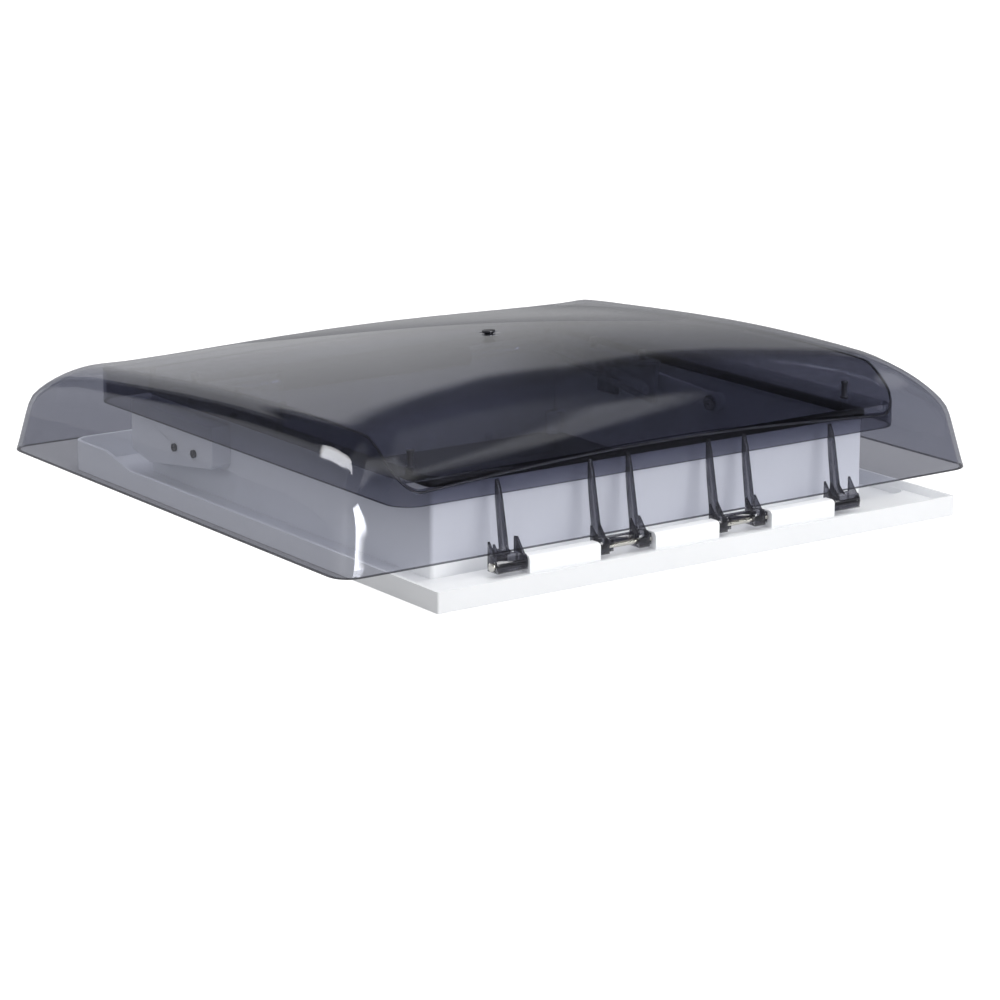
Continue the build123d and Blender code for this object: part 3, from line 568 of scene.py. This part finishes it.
def build_floor():
    """Pale roof with a square pit that the spigot drops into."""
    # half width and height of each square loop
    squares = ((HOLE, PIT_Z), (HOLE, FLOOR_Z), (0.3, FLOOR_Z), (0.7, FLOOR_Z), (2.0, FLOOR_Z),
               (7.0, FLOOR_Z))
    steps = 12
    verts = []
    for half, z in squares:
        corners = [(-half, -half), (half, -half), (half, half), (-half, half)]
        for (px, py), (qx, qy) in zip(corners, corners[1:] + corners[:1]):
            verts += [(px + (qx - px) * (i / steps), py + (qy - py) * (i / steps), z)
                      for i in range(steps)]
    count = 4 * steps
    faces = flipped(band_faces(len(squares), count, closed=False))
    faces.append(tuple(reversed(range(count))))   # bottom of the pit
    mesh = bpy.data.meshes.new("floor")
    mesh.from_pydata(verts, [], faces)
    mesh.update()
    return link_object("floor", mesh)


def floor_material(glow=0.86):
    """Pale grey that glows only where the camera sees it directly."""
    mat, graph, surface = new_material("pale_floor")
    path = graph.node("ShaderNodeLightPath")
    direct = graph.math("MULTIPLY", path.outputs["Is Camera Ray"],
                        graph.math("LESS_THAN", path.outputs["Transparent Depth"], 0.5))
    diffuse = graph.node("ShaderNodeBsdfDiffuse")
    grain = graph.noise(scale=90.0, detail=4.0, rough=0.6)
    graph.put(diffuse.inputs["Color"],
              graph.ramp(grain, [(0.3, (0.40, 0.40, 0.405)), (0.7, (0.42, 0.42, 0.425))]))
    emission = graph.node("ShaderNodeEmission")
    emission.inputs["Color"].default_value = (1, 1, 1, 1)
    graph.put(emission.inputs["Strength"], graph.math("MULTIPLY", direct, glow))
    both = graph.node("ShaderNodeAddShader")
    graph.put(both.inputs[0], diffuse.outputs[0])
    graph.put(both.inputs[1], emission.outputs[0])
    graph.put(surface, both.outputs[0])
    return mat


floor = build_floor()
floor.data.materials.append(floor_material())

# ------------------------------------------------------------------ studio surroundings
# Azimuth runs from +Y towards +X and elevation up from the horizon, both in degrees.
# azimuth, height of the far wall's top edge as a share of 90 degrees
WALL_EDGE = [
    (-180, 0.37), (0, 0.37), (8, 0.365), (27, 0.256), (31, 0.2365), (33, 0.221), (34, 0.207),
    (36, 0.197), (37, 0.188), (38, 0.165), (39, 0.138), (40, 0.112), (41, 0.094), (42, 0.08),
    (60, 0.05), (100, 0.2), (125, 0.38), (180, 0.38)]
# azimuth, brightness of the far wall
WALL_LIGHT = [
    (-180, 0.3), (0, 0.46), (28, 0.46), (31, 0.47), (33, 0.42), (36, 0.34), (38, 0.28),
    (41, 0.22), (50, 0.24), (100, 0.2), (140, 0.22), (180, 0.26)]
GLOSSY_FLOOR = 0.03    # least brightness in reflections
BACKDROP = 1.1         # seen directly
THROUGH = 0.34         # seen through the sheets
AMBIENT, AMBIENT_RISE = 0.46, 0.3   # light on surfaces: at the horizon, added by the zenith


def build_world():
    """Backdrop for camera rays, a painted room for reflections, soft ambient for the rest."""
    world = bpy.data.worlds.new("studio")
    bpy.context.scene.world = world
    graph = Graph(world)
    math_node = graph.math
    output = graph.node("ShaderNodeOutputWorld")
    background = graph.node("ShaderNodeBackground")
    path = graph.node("ShaderNodeLightPath")
    coords = graph.node("ShaderNodeTexCoord")
    split = graph.node("ShaderNodeSeparateXYZ")
    graph.put(split.inputs[0], coords.outputs["Generated"])
    x, y, z = split.outputs
    degrees = 180 / math.pi
    elevation = math_node("MULTIPLY", math_node("ARCSINE", z), degrees)
    azimuth = math_node("MULTIPLY", math_node("ARCTAN2", x, y), degrees)
    turn = math_node("MULTIPLY_ADD", azimuth, 1 / 360.0, 0.5)

    def curve(points):
        return graph.ramp(turn, [((angle + 180) / 360.0, value) for angle, value in points])

    def above(value, at, fade):
        offset = math_node("SUBTRACT", value, at)
        return math_node("MULTIPLY_ADD", offset, 1.0 / fade, 0.5, clamp=True)

    def below(value, at, fade):
        return math_node("SUBTRACT", 1.0, above(value, at, fade))

    def window(value, low, high, fade):
        return math_node("MULTIPLY", above(value, low, fade), below(value, high, fade))

    def patch(across, upright, strength):
        return math_node("MULTIPLY", math_node("MULTIPLY", across, upright), strength)

    # pale far wall under a dark ceiling, its top edge lowest near azimuth 60
    edge = math_node("MULTIPLY", curve(WALL_EDGE), 90.0)
    light = curve(WALL_LIGHT)
    fade_up = math_node("MULTIPLY", math_node("MAXIMUM", elevation, 0.0), 0.03)
    # from azimuth 36 on the wall darkens upwards
    right_part = above(azimuth, at=36.0, fade=4.0)
    falloff = math_node("SUBTRACT", 1.0, math_node("MULTIPLY", right_part, fade_up))
    under_edge = below(math_node("SUBTRACT", elevation, edge), at=0.0, fade=1.6)
    far_wall = math_node("MULTIPLY", under_edge,
                         math_node("MULTIPLY", light, math_node("MAXIMUM", falloff, 0.2)))
    extent = math_node("MAXIMUM", above(azimuth, at=7.5, fade=1.5),
                       math_node("LESS_THAN", azimuth, -100.0))
    glossy = math_node("MULTIPLY", far_wall, extent)

    left_wall = patch(window(azimuth, low=-130.0, high=-5.0, fade=1.5),
                      below(elevation, at=62.0, fade=4.0), strength=0.46)
    ceiling = math_node("MULTIPLY", above(elevation, at=56.0, fade=5.0), 0.26)
    # long lamp on the right
    long_lamp = patch(window(azimuth, low=92.0, high=126.0, fade=8.0),
                      window(elevation, low=50.5, high=57.0, fade=2.5), strength=0.9)
    # narrow tall lamp at the back
    back_lamp = patch(window(azimuth, low=-17.0, high=-4.5, fade=1.0),
                      window(elevation, low=40.5, high=80.0, fade=2.0), strength=6.5)
    # bright lamp at the front, across the azimuth seam
    front = math_node("MAXIMUM", above(azimuth, at=151.0, fade=4.0),
                      below(azimuth, at=-176.0, fade=3.0))
    front_lamp = patch(front, window(elevation, low=9.0, high=44.0, fade=6.0), strength=16.0)
    for part in (left_wall, ceiling, long_lamp, back_lamp, front_lamp, GLOSSY_FLOOR):
        glossy = math_node("ADD", glossy, part)

    direct = math_node("LESS_THAN", path.outputs["Transparent Depth"], 0.5)
    backdrop = math_node("ADD", THROUGH, math_node("MULTIPLY", direct, BACKDROP - THROUGH))
    ambient = math_node("MULTIPLY_ADD", math_node("MAXIMUM", z, 0.0), AMBIENT_RISE, AMBIENT)
    is_camera, is_glossy = path.outputs["Is Camera Ray"], path.outputs["Is Glossy Ray"]
    total = math_node("ADD", math_node("MULTIPLY", is_camera, backdrop),
                      math_node("MULTIPLY", is_glossy, glossy))
    rest = math_node("SUBTRACT", 1.0, math_node("MAXIMUM", is_camera, is_glossy))
    total = math_node("ADD", total, math_node("MULTIPLY", rest, ambient))
    background.inputs["Color"].default_value = (0.985, 0.99, 1.0, 1)
    graph.put(background.inputs["Strength"], total)
    graph.put(output.inputs[0], background.outputs[0])


def place(name, data, location, direction):
    """Add a light or camera that faces along direction."""
    ob = link_object(name, data)
    ob.location = location
    ob.rotation_euler = direction.to_track_quat("-Z", "Y").to_euler()
    return ob


def area_light(name, location, target, size, power):
    """Soft rectangle, unseen by the camera and in reflections."""
    light = bpy.data.lights.new(name, "AREA")
    light.shape = "RECTANGLE"
    light.size, light.size_y = size
    light.energy = power
    ob = place(name, light, location, Vector(target) - Vector(location))
    ob.visible_camera = False
    ob.visible_glossy = False


build_world()
area_light("front_soft", (0.55, -2.3, 0.75), target=(0, -0.1, 0.03), size=(1.6, 1.0), power=33.0)
area_light("left_soft", (-2.2, -0.6, 0.9), target=(0, 0, 0.04), size=(1.2, 0.9), power=4.0)
area_light("top_soft", (0.1, 0.1, 2.4), target=(0, 0, 0.05), size=(2.2, 2.2), power=21.0)

# ------------------------------------------------------------------ camera, front left
scene = bpy.context.scene
camera = bpy.data.cameras.new("camera")
camera.sensor_width = 36.0
camera.lens = 119.7
camera.clip_start = 0.01
camera.clip_end = 100.0
scene.camera = place("camera", camera, (-1.4529, -2.0616, 0.625),
                     Vector((0.5588, 0.7928, -0.2434)).normalized())

# ------------------------------------------------------------------ render settings
scene.view_settings.view_transform = "Standard"
scene.view_settings.look = "None"
cycles = scene.cycles
cycles.use_denoising = True
cycles.transparent_max_bounces = 40
cycles.max_bounces = 10
cycles.diffuse_bounces = 4
cycles.glossy_bounces = 5
cycles.caustics_reflective = False
cycles.caustics_refractive = False
cycles.sample_clamp_indirect = 4.0
